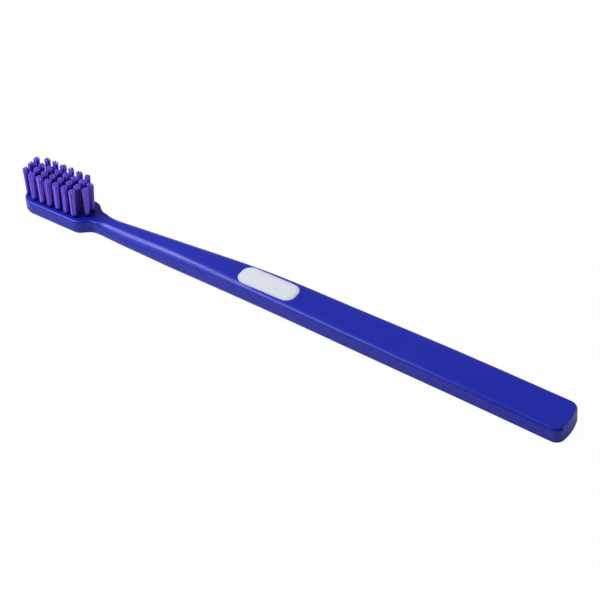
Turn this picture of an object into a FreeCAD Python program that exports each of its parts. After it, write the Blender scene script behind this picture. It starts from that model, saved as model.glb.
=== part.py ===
import FreeCAD, Part
import math
import os

os.makedirs("parts", exist_ok=True)

V = FreeCAD.Vector

# Sizes in mm. While drawing, x runs from the tip of the head (0) to the end of the tail.
length = 188.3

# Head, seen from above
head_half_tip = 5.78
head_half_rear = 5.92
head_tip_r = 4.9
head_rear_x = 22.9
head_rear_r = 3.9
head_top = 5.1

# Neck and grip from above: half widths at stations that share out the length
root_x = 26.55
root_half = 2.83
root_r = 4.4
slim_x = 0.191 * length
slim_half = 3.27
neck_x = 0.26 * length
neck_half = 3.82
flare_x = 0.351 * length
flare_half = 4.32
hump_x = 0.441 * length
hump_half = 5.08
grip_x = 0.505 * length
grip_half = 5.36
swell_x = 0.69 * length
swell_half = 5.97
tail_half = 6.47
tail_r = 2.9
tail_bow_r = 18.7
tail_cut = 4.8
tail_draft = 0.65

# Side view: heights of the upper and the lower line at stations that share out the length
rise_x = 0.255 * length
rise_top = 6.03
climb_top = 6.84
hump_top = 7.27
fall_x = 0.595 * length
fall_top = 6.88
slack_x = 0.786 * length
slack_top = 6.22
tail_thick = 4.95
tail_tilt = 1.85
back_flat_x = 0.287 * length
back_mid_x = 0.3825 * length
back_mid = 0.76
back_high_x = 0.5525 * length
back_high = 1.27
back_fall_x = 0.7015 * length
back_fall = 1.03
back_low_x = 0.85 * length
back_low = 0.81

# Rounding of the long edges, upper and lower; the upper ones reach further in than down
head_edge_r = 0.6
root_edge_r = 1.7
slim_edge_r = 2.5
neck_edge_r = 2.5
flare_edge_r = 1.65
grip_edge_r = 0.86
tail_edge_r = 1.0
head_back_r = 1.5
slim_reach = 2.5
neck_reach = 2.7
flare_reach = 2.5
grip_reach = 2.0
neck_back_r = 1.95
flare_back_r = 1.55
tail_back_r = 0.25

# Thumb pad and its recess
pad_x = 0.4783 * length
pad_length = 19.5
pad_width = 7.7
pad_r = 3.1
pad_depth = 1.8
pad_proud = 0.2
pad_rim_r = 0.65

# Tufts: four rows on a grid, the middle two one longer, and three more at the tip
tuft_pitch = 3.13
row_gap = 2.5
first_x = 4.85
outer_count = 6
inner_count = 7
hole_r = 0.82
hole_depth = 3.2
tuft_height = 10.5
tuft_tip_r = 0.98
tuft_round = 0.35
tuft_sides = 8

# Metal anchor that holds the folded filaments down in each hole
anchor_bite = 0.22
anchor_height = 1.3
anchor_thick = 0.25
fold_height = 0.4


def corner(before, at, after, r):
    """Start, middle and end of the arc that rounds the corner at a point."""
    a = (before - at).normalize()
    b = (after - at).normalize()
    half = a.getAngle(b) / 2
    reach = r / math.tan(half)
    middle = at + (a + b).normalize() * (r / math.sin(half) - r)
    return at + a * reach, middle, at + b * reach


def smooth(points, first, last):
    """Curve through points that leaves along first and arrives along last."""
    curve = Part.BSplineCurve()
    curve.interpolate(Points=points, InitialTangent=first, FinalTangent=last)
    return curve


def along(curve, x):
    """Point at x on a curve that runs along x."""
    low, high = curve.FirstParameter, curve.LastParameter
    for _ in range(50):
        mid = (low + high) / 2
        if curve.value(mid).x < x:
            low = mid
        else:
            high = mid
    return curve.value(high)


def between(stations, x):
    """Value at x on straight lines between (x, value) stations."""
    for (x0, r0), (x1, r1) in zip(stations, stations[1:]):
        if x <= x1:
            return r0 + (r1 - r0) * max(0.0, x - x0) / (x1 - x0)
    return stations[-1][1]


def mirrored(edges):
    """The same edges on the other side of the middle plane."""
    return [edge.mirror(V(0, 0, 0), V(0, 1, 0)) for edge in edges]


def closed(edges):
    """Face inside a ring of edges given in any order."""
    return Part.Face(Part.Wire(Part.__sortEdges__(edges)))


def rim(shape, up, cut_x):
    """Edges round the face that looks up (1) or down (-1), without one that lies in a cut plane."""
    for face in shape.Faces:
        u0, u1, v0, v1 = face.ParameterRange
        if face.normalAt((u0 + u1) / 2, (v0 + v1) / 2).z * up > 0.9:
            return [e for e in face.Edges if cut_x is None or abs(e.CenterOfMass.x - cut_x) > 1e-4]


def quarter(start, knee, end):
    """Exact quarter ellipse, in two halves, between two points whose tangents meet at the knee."""
    eighth = math.pi / 8
    mid = start + end - knee
    top = mid + (knee - mid) * math.sqrt(0.5)
    halves = []
    for a, b in ((start, top), (top, end)):
        curve = Part.BezierCurve()
        far = start if a == start else end
        curve.setPoles([a, far + (knee - far) * math.tan(eighth), b])
        curve.setWeight(2, math.cos(eighth))
        halves.append(curve.toShape())
    return halves


def section(x, half, top, back, reach, top_r, back_r):
    """Cross-section of neck or grip: flat top, sides and back between oval shoulders and round keels."""
    ring = [
        (V(x, half - back_r, back), V(x, half, back), V(x, half, back + back_r)),
        (V(x, half, top - top_r), V(x, half, top), V(x, half - reach, top)),
        (V(x, reach - half, top), V(x, -half, top), V(x, -half, top - top_r)),
        (V(x, -half, back + back_r), V(x, -half, back), V(x, back_r - half, back)),
    ]
    edges = []
    for n, turn in enumerate(ring):
        edges.append(Part.makeLine(ring[n - 1][2], turn[0]))
        edges.extend(quarter(*turn))
    return Part.Wire(edges)


def tail_outline(end_x, z):
    """Tail seen from above, edge by edge: straight sides from the cut, rounded corners and a bowed end."""
    bow_mid = V(end_x - tail_bow_r, 0, z)
    turn_in = tail_half - tail_r
    turn_mid = bow_mid + V(math.sqrt((tail_bow_r - tail_r) ** 2 - turn_in ** 2), turn_in, 0)
    outward = (turn_mid - bow_mid).normalize()
    turn = [turn_mid + way.normalize() * tail_r for way in (V(0, 1, 0), outward + V(0, 1, 0), V(outward))]
    start = V(foot_x - tail_cut, tail_half, z)
    start2, *turn2 = [V(p.x, -p.y, z) for p in [start] + turn]
    return [
        Part.makeLine(start, turn[0]),
        Part.Arc(*turn).toShape(),
        Part.Arc(turn[2], V(end_x, 0, z), turn2[2]).toShape(),
        Part.Arc(*turn2[::-1]).toShape(),
        Part.makeLine(turn2[0], start2),
        Part.makeLine(start2, start),
    ]


def wall(low, high):
    """Face between an edge of the lower outline and the one above it, flat where they are straight."""
    if low.Curve.TypeId == "Part::GeomLine":
        feet = [v.Point for v in low.Vertexes]
        tops = [v.Point for v in high.Vertexes]
        return Part.Face(Part.makePolygon(feet + tops[::-1] + feet[:1]))
    return Part.makeRuledSurface(low, high)


def tower(x, y, levels):
    """Upright many-sided solid through (height, radius) levels, for a tuft or its hole."""
    step = 2 * math.pi / tuft_sides
    turns = [(math.cos((i + 0.5) * step), math.sin((i + 0.5) * step)) for i in range(tuft_sides)]
    rings = [[V(x + r * c, y + r * s, z) for c, s in turns] for z, r in levels]
    sides = [rings[0], rings[-1]]
    for low, high in zip(rings, rings[1:]):
        sides += [[low[i - 1], low[i], high[i], high[i - 1]] for i in range(tuft_sides)]
    faces = [Part.Face(Part.makePolygon(side + side[:1])) for side in sides]
    return Part.Solid(Part.Shell(faces))


def save(shape, name):
    """Put the origin under the middle of the brush and write the piece."""
    placed = shape.copy()
    placed.translate(V(-length / 2, 0, 0))
    placed.exportStep("parts/" + name + ".step")


# Head: flat block with rounded tip, rear corners and hollow corners where the neck leaves it
tip = V(0, head_half_tip, 0)
rear = V(head_rear_x, head_half_rear, 0)
root = V(root_x, root_half, 0)
tip_arc = corner(V(0, -head_half_tip, 0), tip, rear, head_tip_r)
rear_arc = corner(tip, rear, root, head_rear_r)
root_arc = corner(rear, root, V(slim_x, root_half, 0), root_r)
head_end = root_arc[2]
head_side = [
    Part.Arc(*tip_arc).toShape(),
    Part.makeLine(tip_arc[2], rear_arc[0]),
    Part.Arc(*rear_arc).toShape(),
    Part.makeLine(rear_arc[2], root_arc[0]),
    Part.Arc(*root_arc).toShape(),
]
across = [Part.makeLine(V(p.x, -p.y, 0), p) for p in (tip_arc[0], head_end)]
head = closed(head_side + mirrored(head_side) + across).extrude(V(0, 0, head_top))
head = head.makeFillet(head_edge_r, rim(head, 1, head_end.x))
head = head.makeFillet(head_back_r, rim(head, -1, head_end.x))

# Tail: bowed end wall that leans in towards the top, made level, then tilted until its foot meets the table
tilt = math.radians(tail_tilt)
lean = math.atan2(tail_draft, tail_thick)
foot_x = length - tail_back_r * (1 + math.sin(tilt) - (math.tan(lean) + 1 / math.cos(lean)) * math.cos(tilt))
tail_start = V(foot_x - tail_cut, tail_half, 0)
tail_low, tail_high = [tail_outline(foot_x - lift * tail_draft, lift * tail_thick) for lift in (0, 1)]
tail_walls = [wall(low, high) for low, high in zip(tail_low, tail_high)]
tail = Part.makeSolid(Part.Shell([closed(tail_high), closed(tail_low)] + tail_walls))
tail = tail.makeFillet(tail_edge_r, rim(tail, 1, tail_start.x))
tail = tail.makeFillet(tail_back_r, rim(tail, -1, tail_start.x))
tail_ring = section(tail_start.x, tail_half, tail_thick, 0, tail_edge_r, tail_edge_r, tail_back_r)
for shape in (tail, tail_ring):
    shape.rotate(V(foot_x, 0, 0), V(0, 1, 0), tail_tilt)
fall = V(math.cos(tilt), 0, -math.sin(tilt))
tail_back = V(foot_x, 0, 0) - fall * (foot_x - tail_start.x)
tail_top = tail_back + V(math.sin(tilt), 0, math.cos(tilt)) * tail_thick

# Neck and grip: sections along three smooth lines, soft shoulders on the neck, crisper towards the tail
side = smooth(
    [head_end, V(slim_x, slim_half, 0), V(neck_x, neck_half, 0), V(flare_x, flare_half, 0),
     V(hump_x, hump_half, 0), V(grip_x, grip_half, 0), V(swell_x, swell_half, 0),
     V(tail_back.x, tail_half, 0)],
    V(1, 0, 0), V(1, 0, 0))
upper = smooth(
    [V(head_end.x, 0, head_top), V(rise_x, 0, rise_top), V(flare_x, 0, climb_top), V(hump_x, 0, hump_top),
     V(fall_x, 0, fall_top), V(slack_x, 0, slack_top), tail_top],
    V(1, 0, 0), fall)
lower = smooth(
    [V(back_flat_x, 0, 0), V(back_mid_x, 0, back_mid), V(back_high_x, 0, back_high),
     V(back_fall_x, 0, back_fall), V(back_low_x, 0, back_low), tail_back],
    V(1, 0, 0), fall)
near_root = head_end.x + (slim_x - head_end.x) / 4
near_tail = tail_back.x - (tail_back.x - back_low_x) / 4
shoulder = [(head_end.x, head_edge_r), (near_root, root_edge_r), (slim_x, slim_edge_r), (neck_x, neck_edge_r),
            (flare_x, flare_edge_r), (grip_x, grip_edge_r), (slack_x, grip_edge_r), (tail_back.x, tail_edge_r)]
inward = [(head_end.x, head_edge_r), (near_root, root_edge_r), (slim_x, slim_reach), (neck_x, neck_reach),
          (flare_x, flare_reach), (grip_x, grip_reach), (slack_x, grip_reach), (tail_back.x, tail_edge_r)]
keel = [(head_end.x, head_back_r), (neck_x, neck_back_r), (flare_x, flare_back_r), (tail_back.x, tail_back_r)]
rings = [section(head_end.x, root_half, head_top, 0, head_edge_r, head_edge_r, head_back_r)]
for x in (near_root, slim_x, neck_x, back_flat_x, flare_x, hump_x, grip_x, fall_x, swell_x, slack_x,
          back_low_x, near_tail):
    half = along(side, x).y
    top = along(upper, x).z
    back = along(lower, x).z if x > back_flat_x else 0.0
    rings.append(section(x, half, top, back, between(inward, x), between(shoulder, x), between(keel, x)))
rings.append(tail_ring)
grip = Part.makeLoft(rings, True, False)
body = head.fuse([grip, tail])

# Thumb pad: rounded tile let into the grip, laid along the handle's top and a little proud of it
pad_ends = [along(upper, pad_x + k * pad_length / 2) for k in (-1, 1)]
pad_fall = math.degrees(math.atan2(pad_ends[0].z - pad_ends[1].z, pad_length))
pad_corner = V(-pad_length / 2, -pad_width / 2, pad_proud - pad_depth)
pad = Part.makeBox(pad_length, pad_width, pad_depth, pad_corner)
pad = pad.makeFillet(pad_r, [e for e in pad.Edges if e.BoundBox.ZLength > pad_depth / 2])
recess = pad.copy()
pad = pad.makeFillet(pad_rim_r, rim(pad, 1, None))
for shape in (pad, recess):
    shape.rotate(V(0, 0, 0), V(0, 1, 0), pad_fall)
    shape.translate(along(upper, pad_x))
body = body.cut(recess)

# Tufts: each fills its blind hole and opens out above, folded round an anchor that bites the hole's wall
rows = [("near", -1.5, outer_count), ("mid_near", -0.5, inner_count),
        ("mid_far", 0.5, inner_count), ("far", 1.5, outer_count)]
places = [("tuft_%s_%d" % (row, i + 1), first_x + i * tuft_pitch, step * row_gap)
          for row, step, count in rows for i in range(count)]
places += [("tuft_tip_%d" % (i + 2), first_x - tuft_pitch, i * row_gap) for i in (-1, 0, 1)]
hole_floor = head_top - hole_depth
tuft_top = head_top + tuft_height
levels = [(hole_floor, hole_r), (head_top, hole_r),
          (tuft_top - tuft_round, tuft_tip_r), (tuft_top, tuft_tip_r - tuft_round)]
anchor_half = hole_r + anchor_bite
anchors = []
cuts = []
for name, x, y in places:
    hole = tower(x, y, levels[:2])
    tuft = tower(x, y, levels)
    plate_at = V(x - anchor_half, y - anchor_thick / 2, hole_floor + fold_height)
    plate = Part.makeBox(2 * anchor_half, anchor_thick, anchor_height, plate_at)
    save(tuft.cut(plate), name)
    cuts.append(hole.fuse(plate))
    anchors.append(plate)
body = body.cut(cuts)

save(body, "handle")
save(pad, "thumb_pad")
save(Part.makeCompound(anchors), "tuft_anchors")
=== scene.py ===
import math
import random

import bmesh
import bpy
from mathutils import Matrix, Vector


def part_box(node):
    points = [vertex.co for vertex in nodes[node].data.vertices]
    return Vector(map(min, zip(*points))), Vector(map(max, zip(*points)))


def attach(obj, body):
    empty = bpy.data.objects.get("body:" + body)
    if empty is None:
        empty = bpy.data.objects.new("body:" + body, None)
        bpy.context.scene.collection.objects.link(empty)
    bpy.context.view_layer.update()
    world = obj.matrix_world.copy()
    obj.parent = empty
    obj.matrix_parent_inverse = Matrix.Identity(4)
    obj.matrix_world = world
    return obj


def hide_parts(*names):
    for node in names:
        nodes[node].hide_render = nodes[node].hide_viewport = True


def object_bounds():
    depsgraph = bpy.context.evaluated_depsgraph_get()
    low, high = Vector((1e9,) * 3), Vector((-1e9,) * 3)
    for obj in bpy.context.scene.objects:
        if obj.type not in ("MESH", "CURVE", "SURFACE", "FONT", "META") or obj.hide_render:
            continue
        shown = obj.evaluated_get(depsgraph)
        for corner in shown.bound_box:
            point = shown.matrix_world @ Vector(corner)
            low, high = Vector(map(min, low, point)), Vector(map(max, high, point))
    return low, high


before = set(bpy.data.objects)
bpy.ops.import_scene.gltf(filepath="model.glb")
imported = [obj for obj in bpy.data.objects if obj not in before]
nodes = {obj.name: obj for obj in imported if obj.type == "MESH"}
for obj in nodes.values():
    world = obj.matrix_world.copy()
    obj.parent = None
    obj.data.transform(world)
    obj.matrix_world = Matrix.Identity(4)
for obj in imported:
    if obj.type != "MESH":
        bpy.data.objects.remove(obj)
cad_low, cad_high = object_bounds()

# Sizes are real ones, in metres
MM = 0.001

# Filaments, and how a bundle of them stands in its hole
filament_r = 0.175 * MM
filament_end_r = 0.6 * filament_r
filament_end_cuts = 2
filament_sides = 6
filament_cuts = 3
filament_bows = (0.0, 0.05 * MM, 0.1 * MM)
filament_gap = 0.28 * MM
bundle_r = 0.57 * MM
tip_spread = 1.6
ragged = 0.2 * MM
foot_jitter = 0.02 * MM
tip_wander = 0.05 * MM
tuft_seed = 29

# Lean of the tufts at their tips: one shift for all, and shares of each tuft's distance from the middle
tuft_lean = Vector((-0.08, 0.37, 0.0)) * MM
fan_along = 0.016
fan_across = 0.125
fan_skew = -0.08

# Where the nylon looks different: bluer in a band at the tips, and painted shade inside the brush from a
# depth below the tips and at the feet, just above the face of the head
tip_band = 0.9 * MM
shade_starts = 0.4 * MM
shade_full = 2.4 * MM
shade_inward = 1.0 * MM
shade_slope = 0.04
head_face = 5.1 * MM
foot_dark = 0.2 * MM
foot_clear = 1.6 * MM

# The outer rows end one tuft short, so more light reaches these two, and their painted shade is weaker
open_tufts = ("tuft_mid_near_6", "tuft_mid_far_6")
open_shelter = 0.75

# Thumb pad: where its flat top lies, and a soft rim that rises from the handle's surface
pad_length = 19.5 * MM
pad_width = 7.7 * MM
pad_thick = 1.8 * MM
pad_corner_r = 3.1 * MM
pad_corner_cuts = 12
pad_rim_reach = 1.9 * MM
pad_rim_rise = 0.27 * MM
pad_rim_cuts = 8
# Share of painted shade, a bluish grey, mixed into the pad towards its rim
pad_rim_painted_shade = 0.65
pad_flat_edge = 0.4 * MM
pad_top = Vector((-4.085, 0.0, 7.476)) * MM
pad_fall = math.radians(0.277)

# Height of the moulded grain on the handle and the pad
grain_height = 0.02 * MM

# Floor: half its width, its drop below the brush, and how far it is lifted to white for the camera and in
# reflections
floor_half = 12.0
floor_drop = 0.02 * MM
camera_white = 0.97
mirror_white = 0.2

# Room: its brightness away from the backdrop and at it, and the backdrop's direction and spread
room_dark = 0.03
room_pale = 0.42
backdrop_way = (-0.6, 0.5, 0.3)
backdrop_starts = -0.1
backdrop_full = 0.8

# Camera, from the photograph's perspective, with its lens and sensor in millimetres
camera_at = Vector((188.41, -286.88, 312.67)) * MM
camera_turn = math.radians(32.334)
camera_tilt = math.radians(42.081)
camera_lens = 94.40
camera_sensor = 36.0
camera_near = 10 * MM

# Share of a height from which a corner counts as being at the top
nearly = 0.99


def colour(code):
    """Linear colour from an sRGB hex value."""
    parts = [int(code[i:i + 2], 16) / 255 for i in (1, 3, 5)]
    return [c / 12.92 if c <= 0.04045 else ((c + 0.055) / 1.055) ** 2.4 for c in parts] + [1.0]


def add(tree, kind, inputs=None, **settings):
    """A node with its settings; each input is a value or another node's output."""
    made = tree.nodes.new(kind)
    for name, value in settings.items():
        setattr(made, name, value)
    for name, value in (inputs or {}).items():
        if isinstance(value, bpy.types.NodeSocket):
            tree.links.new(value, made.inputs[name])
        else:
            made.inputs[name].default_value = value
    return made


def material(name):
    """An empty material and its node tree."""
    made = bpy.data.materials.new(name)
    made.use_nodes = True
    made.node_tree.nodes.clear()
    return made, made.node_tree


def per_mm(size):
    """Noise scale that gives features of a size in millimetres."""
    return 1 / (size * MM)


def moulded_polypropylene():
    """Injection moulded polypropylene, deep violet blue. The mould's finely eroded steel leaves a satin
    skin with soft highlights. The grain is drawn at half a millimetre, coarser than the real one, so that
    it shows."""
    made, tree = material("moulded_polypropylene")
    place = add(tree, "ShaderNodeTexCoord").outputs["Object"]
    cloud = add(tree, "ShaderNodeTexNoise", {"Vector": place, "Scale": per_mm(14), "Detail": 2.0})
    grain = add(tree, "ShaderNodeTexNoise", {"Vector": place, "Scale": per_mm(0.5), "Detail": 3.0})
    tint = add(tree, "ShaderNodeMix", {
        "Factor": cloud.outputs["Fac"], "A": colour("#111D95"), "B": colour("#16219C")}, data_type="RGBA")
    rough = add(tree, "ShaderNodeMapRange", {
        "Value": grain.outputs["Fac"], "To Min": 0.32, "To Max": 0.38})
    bump = add(tree, "ShaderNodeBump", {
        "Height": grain.outputs["Fac"], "Strength": 0.12, "Distance": grain_height})
    skin = add(tree, "ShaderNodeBsdfPrincipled", {
        "Base Color": tint.outputs["Result"], "Roughness": rough.outputs["Result"], "IOR": 1.49,
        "Specular Tint": colour("#BEBBEA"), "Normal": bump.outputs["Normal"]})
    add(tree, "ShaderNodeOutputMaterial", {"Surface": skin.outputs["BSDF"]})
    return made


def white_inlay():
    """Smooth white moulded inlay. Its skin is slightly cool, with a faint cloudiness from the pigment, and
    towards its rim the white is mixed towards a bluish grey, a painted shade. Its grain is drawn as
    coarse as the handle's, so that it shows."""
    made, tree = material("white_moulded_inlay")
    place = add(tree, "ShaderNodeTexCoord").outputs["Object"]
    cloud = add(tree, "ShaderNodeTexNoise", {"Vector": place, "Scale": per_mm(6), "Detail": 3.0})
    grain = add(tree, "ShaderNodeTexNoise", {"Vector": place, "Scale": per_mm(0.5), "Detail": 2.0})
    tint = add(tree, "ShaderNodeMix", {
        "Factor": cloud.outputs["Fac"], "A": colour("#C4C8D1"), "B": colour("#C9CDD5")}, data_type="RGBA")
    # Painted shade: darker and bluer towards the rim
    rim = add(tree, "ShaderNodeAttribute", attribute_name="rim").outputs["Fac"]
    rim_painted_shade = add(tree, "ShaderNodeMath", {0: rim, 1: pad_rim_painted_shade}, operation="MULTIPLY")
    seen = add(tree, "ShaderNodeMix", {
        "Factor": rim_painted_shade.outputs["Value"], "A": tint.outputs["Result"], "B": colour("#8C94BC")},
        data_type="RGBA")
    bump = add(tree, "ShaderNodeBump", {
        "Height": grain.outputs["Fac"], "Strength": 0.06, "Distance": grain_height})
    skin = add(tree, "ShaderNodeBsdfPrincipled", {
        "Base Color": seen.outputs["Result"], "Roughness": 0.5, "IOR": 1.5, "Specular IOR Level": 0.25,
        "Normal": bump.outputs["Normal"]})
    add(tree, "ShaderNodeOutputMaterial", {"Surface": skin.outputs["BSDF"]})
    return made


def nylon_filament(middle, half):
    """Extruded nylon filament, dyed violet and translucent. Each filament takes the light a little
    differently, and the cut and rounded ends look bluer than the shafts. Shade is painted into the colour:
    the shafts inside the brush are darkened to deep navy below their tips, and so are the feet."""
    made, tree = material("violet_nylon_filament")
    place = add(tree, "ShaderNodeTexCoord").outputs["Object"]
    parts = add(tree, "ShaderNodeSeparateXYZ", {"Vector": place}).outputs
    tone = add(tree, "ShaderNodeAttribute", attribute_name="tone").outputs["Fac"]
    shaft = add(tree, "ShaderNodeMix", {
        "Factor": tone, "A": colour("#6F51DC"), "B": colour("#9673F6")}, data_type="RGBA")
    near_tip = add(tree, "ShaderNodeMapRange", {
        "Value": parts["Z"], "From Min": cad_high.z - tip_band, "From Max": cad_high.z})
    tint = add(tree, "ShaderNodeMix", {
        "Factor": near_tip.outputs["Result"], "A": shaft.outputs["Result"], "B": colour("#6852CC")},
        data_type="RGBA")

    # Mask of the painted shade: how far a point lies inside the outer tufts' middles, a little more the
    # lower it is
    from_edge = []
    for axis, centre, reach in (("X", middle.x, half.x), ("Y", middle.y, half.y)):
        out = add(tree, "ShaderNodeMath", {0: parts[axis], 1: centre}, operation="SUBTRACT")
        size = add(tree, "ShaderNodeMath", {0: out.outputs["Value"]}, operation="ABSOLUTE")
        left = add(tree, "ShaderNodeMath", {0: reach, 1: size.outputs["Value"]}, operation="SUBTRACT")
        from_edge.append(left.outputs["Value"])
    inside = add(tree, "ShaderNodeMath", {0: from_edge[0], 1: from_edge[1]}, operation="MINIMUM")
    lower = add(tree, "ShaderNodeMath", {
        0: parts["Z"], 1: -shade_slope, 2: shade_slope * cad_high.z}, operation="MULTIPLY_ADD")
    deeper = add(tree, "ShaderNodeMath", {
        0: inside.outputs["Value"], 1: lower.outputs["Value"]}, operation="ADD")

    # Painted shade: dark inside and below the tips, as far as the tuft is sheltered, and dark at the foot
    within = add(tree, "ShaderNodeMapRange", {
        "Value": deeper.outputs["Value"], "From Min": 0.0, "From Max": shade_inward},
        interpolation_type="SMOOTHSTEP")
    below = add(tree, "ShaderNodeMapRange", {
        "Value": parts["Z"], "From Min": cad_high.z - shade_full, "From Max": cad_high.z - shade_starts,
        "To Min": 1.0, "To Max": 0.0}, interpolation_type="SMOOTHSTEP")
    between = add(tree, "ShaderNodeMath", {
        0: within.outputs["Result"], 1: below.outputs["Result"]}, operation="MULTIPLY")
    shelter = add(tree, "ShaderNodeAttribute", attribute_name="shelter").outputs["Fac"]
    inner_painted_shade = add(tree, "ShaderNodeMath", {0: between.outputs["Value"], 1: shelter}, operation="MULTIPLY")
    foot_painted_shade = add(tree, "ShaderNodeMapRange", {
        "Value": parts["Z"], "From Min": head_face + foot_dark, "From Max": head_face + foot_clear,
        "To Min": 1.0, "To Max": 0.0}, interpolation_type="SMOOTHSTEP")
    # Painted shade: the stronger of the inner shade and the shade at the foot
    depth = add(tree, "ShaderNodeMath", {
        0: inner_painted_shade.outputs["Value"], 1: foot_painted_shade.outputs["Result"]}, operation="MAXIMUM")
    # Painted shade: the colour is mixed towards deep navy by that amount
    seen = add(tree, "ShaderNodeMix", {
        "Factor": depth.outputs["Value"], "A": tint.outputs["Result"], "B": colour("#020278")},
        data_type="RGBA")
    skin = add(tree, "ShaderNodeBsdfPrincipled", {
        "Base Color": seen.outputs["Result"], "Roughness": 0.45, "IOR": 1.53, "Specular IOR Level": 0.12})
    add(tree, "ShaderNodeOutputMaterial", {"Surface": skin.outputs["BSDF"]})
    return made


def rolled_brass():
    """Brass strip as rolled and cut: bright metal with fine lines along the rolling direction."""
    made, tree = material("rolled_brass_strip")
    place = add(tree, "ShaderNodeTexCoord").outputs["Object"]
    along = add(tree, "ShaderNodeMapping", {"Vector": place, "Scale": (0.05, 1.0, 1.0)})
    lines = add(tree, "ShaderNodeTexNoise", {
        "Vector": along.outputs["Vector"], "Scale": per_mm(0.08), "Detail": 2.0})
    rough = add(tree, "ShaderNodeMapRange", {"Value": lines.outputs["Fac"], "To Min": 0.22, "To Max": 0.4})
    skin = add(tree, "ShaderNodeBsdfPrincipled", {
        "Base Color": colour("#D2B26A"), "Metallic": 1.0, "Roughness": rough.outputs["Result"]})
    add(tree, "ShaderNodeOutputMaterial", {"Surface": skin.outputs["BSDF"]})
    return made


def white_floor():
    """Matt white paper sweep. The camera sees it close to white, with the object's shadow kept faint.
    Reflections show it as pale paper, lifted a little towards that white, with the shadow under the brush
    kept clear."""
    made, tree = material("white_paper_floor")
    path = add(tree, "ShaderNodeLightPath").outputs
    mirrored = add(tree, "ShaderNodeMath", {
        0: path["Is Glossy Ray"], 1: path["Is Transmission Ray"]}, operation="MAXIMUM")
    lifted = add(tree, "ShaderNodeMath", {
        0: mirrored.outputs["Value"], 1: mirror_white}, operation="MULTIPLY")
    seen = add(tree, "ShaderNodeMath", {0: path["Is Camera Ray"], 1: camera_white}, operation="MULTIPLY")
    share = add(tree, "ShaderNodeMath", {
        0: seen.outputs["Value"], 1: lifted.outputs["Value"]}, operation="MAXIMUM")
    paper = add(tree, "ShaderNodeBsdfDiffuse", {"Color": colour("#DADADA")})
    glow = add(tree, "ShaderNodeEmission", {"Color": colour("#FFFFFF"), "Strength": 1.0})
    both = add(tree, "ShaderNodeMixShader", {
        0: share.outputs["Value"], 1: paper.outputs["BSDF"], 2: glow.outputs["Emission"]})
    add(tree, "ShaderNodeOutputMaterial", {"Surface": both.outputs["Shader"]})
    return made


def keep(mesh, name, finish, smooth=True):
    """Turns a bmesh into an object at the origin with one material."""
    data = bpy.data.meshes.new(name)
    mesh.to_mesh(data)
    mesh.free()
    data.materials.append(finish)
    for face in data.polygons:
        face.use_smooth = smooth
    made = bpy.data.objects.new(name, data)
    bpy.context.scene.collection.objects.link(made)
    return made


def uprights(mesh, height):
    """Edges that climb more than half of a height."""
    return [e for e in mesh.edges if abs(e.verts[0].co.z - e.verts[1].co.z) > height / 2]


def at_top(parts, height):
    """Edges or faces whose corners all reach a height."""
    return [p for p in parts if min(v.co.z for v in p.verts) > height * nearly]


def pad_tile(finish):
    """Thumb pad: a tile with round corners and a soft rim that rises from the handle to a flat top."""
    mesh = bmesh.new()
    rim = mesh.verts.layers.float.new("rim")
    bmesh.ops.create_cube(mesh, size=1.0)
    bmesh.ops.scale(mesh, verts=mesh.verts, vec=(pad_length, pad_width, pad_thick))
    bmesh.ops.translate(mesh, verts=mesh.verts, vec=(0, 0, pad_rim_reach - pad_thick / 2))
    bmesh.ops.bevel(mesh, geom=uprights(mesh, pad_thick), offset=pad_corner_r, offset_type="OFFSET",
                    affect="EDGES", segments=pad_corner_cuts, profile=0.5, material=-1)
    bmesh.ops.bevel(mesh, geom=at_top(mesh.edges, pad_rim_reach), offset=pad_rim_reach,
                    offset_type="OFFSET", affect="EDGES", segments=pad_rim_cuts, profile=0.5, material=-1)
    crown = [v for v in mesh.verts if v.co.z > 0]
    bmesh.ops.scale(mesh, verts=crown, vec=(1, 1, pad_rim_rise / pad_rim_reach))
    bmesh.ops.inset_region(mesh, faces=at_top(mesh.faces, pad_rim_rise), thickness=pad_flat_edge)
    # How far down the rim each corner lies, which sets the inlay's painted rim shade
    for v in mesh.verts:
        v[rim] = 1 - max(0.0, min(v.co.z / pad_rim_rise, 1.0))
    onto_handle = Matrix.Translation(pad_top) @ Matrix.Rotation(pad_fall, 4, "Y")
    laid = onto_handle @ Matrix.Translation((0, 0, -pad_rim_rise))
    bmesh.ops.transform(mesh, verts=mesh.verts, matrix=laid)
    made = keep(mesh, "thumb_pad_tile", finish)
    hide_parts("thumb_pad")
    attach(made, "root")


def filament_mesh(length, bow):
    """One filament standing on the origin, with a rounded end and a slight bow to +X."""
    mesh = bmesh.new()
    bmesh.ops.create_cone(mesh, cap_ends=True, segments=filament_sides, radius1=filament_r,
                          radius2=filament_r, depth=length)
    bmesh.ops.translate(mesh, verts=mesh.verts, vec=(0, 0, length / 2))
    bmesh.ops.subdivide_edges(mesh, edges=uprights(mesh, length), cuts=filament_cuts)
    bmesh.ops.bevel(mesh, geom=at_top(mesh.edges, length), offset=filament_end_r, offset_type="OFFSET",
                    affect="EDGES", segments=filament_end_cuts, profile=0.5, material=-1)
    for v in mesh.verts:
        v.co.x += bow * (v.co.z / length) ** 2
    data = bpy.data.meshes.new("filament")
    mesh.to_mesh(data)
    mesh.free()
    return data


def lean(shift, length):
    """Matrix that slides the top of a filament sideways and leaves its foot in place."""
    made = Matrix.Identity(4)
    made[0][2] = shift.x / length
    made[1][2] = shift.y / length
    return made


def bundle_places():
    """Filament places in a round tuft, on a close-packed grid round its middle."""
    steps = math.ceil(bundle_r / filament_gap) + 1
    rows = range(-steps, steps + 1)
    grid = [Vector((i + 0.5 * (j % 2), j * math.sqrt(0.75), 0)) * filament_gap for i in rows for j in rows]
    return [p for p in grid if p.length <= bundle_r]


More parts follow.
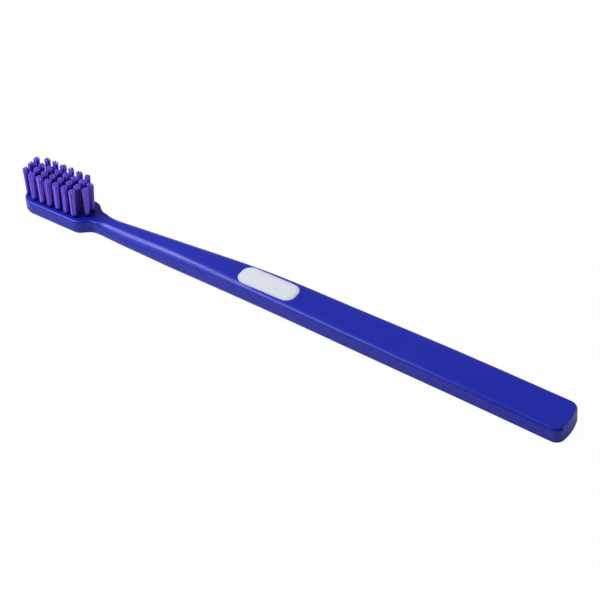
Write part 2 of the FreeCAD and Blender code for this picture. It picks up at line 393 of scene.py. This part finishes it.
def tuft(node, middle, filaments, rng, finish):
    """A tuft of filaments that stand in one hole and spread towards uneven tips."""
    low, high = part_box(node)
    foot = Vector(((low.x + high.x) / 2, (low.y + high.y) / 2, low.z))
    length = high.z - foot.z
    off = foot - middle
    fan = Vector((off.x * fan_along + off.y * fan_skew, off.y * fan_across, 0))
    turn = Matrix.Rotation(rng.uniform(0, math.tau), 4, "Z")
    mesh = bmesh.new()
    tone = mesh.verts.layers.float.new("tone")
    shelter = mesh.verts.layers.float.new("shelter")
    for place in bundle_places():
        spot = turn @ place
        spot += Vector((rng.gauss(0, foot_jitter), rng.gauss(0, foot_jitter), 0))
        wander = Vector((rng.gauss(0, tip_wander), rng.gauss(0, tip_wander), 0))
        shift = tuft_lean + fan + spot * (tip_spread - 1) + wander
        short = abs(rng.gauss(0, ragged)) + (place.length / bundle_r) ** 2 * ragged
        first = len(mesh.verts)
        mesh.from_mesh(rng.choice(filaments))
        mesh.verts.ensure_lookup_table()
        fresh = mesh.verts[first:]
        shade = rng.random()
        for v in fresh:
            v[tone] = shade
            # Share of the painted shade inside the brush that this tuft gets
            v[shelter] = open_shelter if node in open_tufts else 1.0
        bmesh.ops.rotate(mesh, verts=fresh, matrix=Matrix.Rotation(rng.uniform(0, math.tau), 3, "Z"))
        trimmed = Matrix.Diagonal((1, 1, 1 - short / length, 1))
        bmesh.ops.transform(mesh, verts=fresh,
                            matrix=Matrix.Translation(foot + spot) @ lean(shift, length) @ trimmed)
    made = keep(mesh, node + "_filaments", finish)
    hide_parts(node)
    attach(made, "root")


def softbox(name, at, aim, size, power):
    """Rectangular studio lamp that faces a point, with its sides square to the brush."""
    lamp = bpy.data.lights.new(name, "AREA")
    lamp.shape = "RECTANGLE"
    lamp.size, lamp.size_y = size
    lamp.energy = power
    made = bpy.data.objects.new(name, lamp)
    made.location = at
    way = (Vector(aim) - Vector(at)).normalized()
    made.rotation_euler = (math.asin(way.y), math.atan2(-way.x, -way.z), 0)
    bpy.context.scene.collection.objects.link(made)


# Handle and anchors keep their solids and get their finishes
for node, finish in (("handle", moulded_polypropylene()), ("tuft_anchors", rolled_brass())):
    nodes[node].data.materials.clear()
    nodes[node].data.materials.append(finish)

# Thumb pad, in place of its plain solid
pad_tile(white_inlay())

# Tufts of filaments, in place of their plain solids, in the field between the outer tufts' middles
tuft_nodes = sorted(n for n in nodes if n.startswith("tuft_") and n != "tuft_anchors")
tuft_low, tuft_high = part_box(tuft_nodes[0])
filaments = [filament_mesh(tuft_high.z - tuft_low.z, bow) for bow in filament_bows]
centres = [sum(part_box(n), Vector()) / 2 for n in tuft_nodes]
field_low, field_high = [Vector(pick(axis) for axis in zip(*centres)) for pick in (min, max)]
field = (field_low + field_high) / 2
nylon = nylon_filament(field, (field_high - field_low) / 2)
rng = random.Random(tuft_seed)
for node in tuft_nodes:
    tuft(node, field, filaments, rng, nylon)

# Floor
sweep = bmesh.new()
bmesh.ops.create_grid(sweep, x_segments=1, y_segments=1, size=floor_half)
bmesh.ops.translate(sweep, verts=sweep.verts, vec=(0, 0, -floor_drop))
keep(sweep, "floor", white_floor(), smooth=False)

# Light: a large softbox beyond the head, small ones beside the head and beyond the tail, a pale backdrop
# behind and a dark room in front, with powers in watts
softbox("main_softbox", at=(-0.58, -0.22, 0.88), aim=(0.0, 0.0, 0.0), size=(0.42, 0.55), power=12.7)
softbox("head_softbox", at=(-0.25, -0.24, 0.18), aim=(-0.06, 0.0, 0.0), size=(0.32, 0.32), power=0.7)
softbox("tail_softbox", at=(0.22, 0.12, 0.04), aim=(0.094, 0.0, 0.0), size=(0.16, 0.12), power=0.15)
world = bpy.data.worlds.new("studio_room")
world.use_nodes = True
world.node_tree.nodes.clear()
way = add(world.node_tree, "ShaderNodeTexCoord").outputs["Generated"]
backdrop = add(world.node_tree, "ShaderNodeVectorMath", {0: way, 1: backdrop_way}, operation="DOT_PRODUCT")
glow = add(world.node_tree, "ShaderNodeMapRange", {
    "Value": backdrop.outputs["Value"], "From Min": backdrop_starts, "From Max": backdrop_full,
    "To Min": room_dark, "To Max": room_pale})
room = add(world.node_tree, "ShaderNodeBackground", {
    "Color": colour("#FFFFFF"), "Strength": glow.outputs["Result"]})
add(world.node_tree, "ShaderNodeOutputWorld", {"Surface": room.outputs["Background"]})
bpy.context.scene.world = world

# Camera
lens = bpy.data.cameras.new("camera")
lens.lens = camera_lens
lens.sensor_width = camera_sensor
lens.clip_start = camera_near
camera = bpy.data.objects.new("camera", lens)
camera.location = camera_at
camera.rotation_euler = (math.pi / 2 - camera_tilt, 0, camera_turn)
bpy.context.scene.collection.objects.link(camera)
bpy.context.scene.camera = camera
bpy.context.scene.view_settings.view_transform = "Standard"
